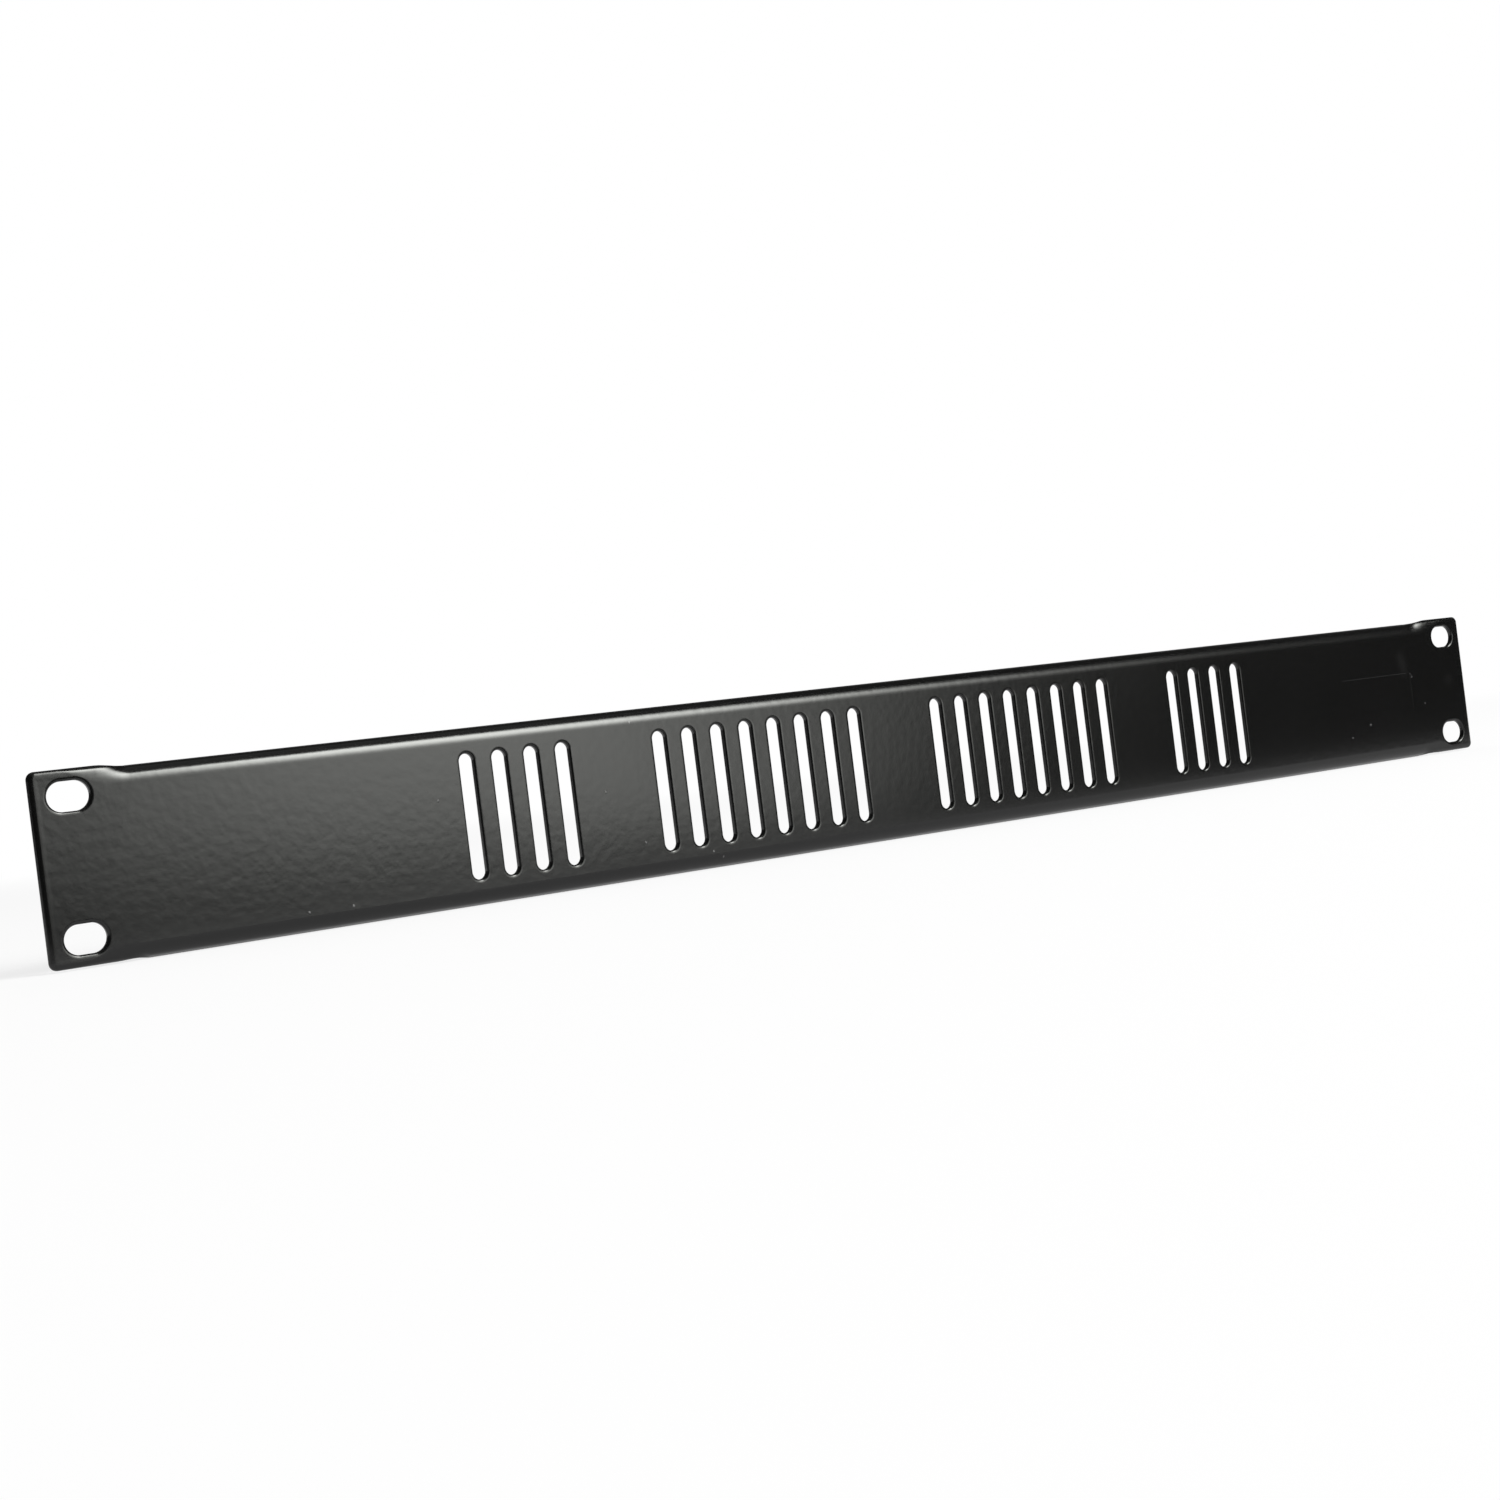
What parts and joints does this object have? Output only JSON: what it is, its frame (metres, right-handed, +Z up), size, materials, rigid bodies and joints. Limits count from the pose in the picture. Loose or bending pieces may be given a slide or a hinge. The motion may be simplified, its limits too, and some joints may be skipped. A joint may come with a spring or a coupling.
{
  "type": "rack blanking panel",
  "caption": "Vented rack blanking panel folded from black-coated steel sheet, with slotted fixing ears at both ends and its top and bottom edges turned back.",
  "frame": {"origin": "on the rear face of the ears, in the middle of their four fixing slots", "axes": "+X along the panel to the right as seen from the front, +Y into the rack, +Z up"},
  "size_m": [0.4826, 0.015, 0.0445],
  "materials": {
    "black_coat": "satin black powder coat with a fine orange peel"
  },
  "bodies": {
    "root": {"vent_panel": "black_coat"}
  },
  "joints": []
}
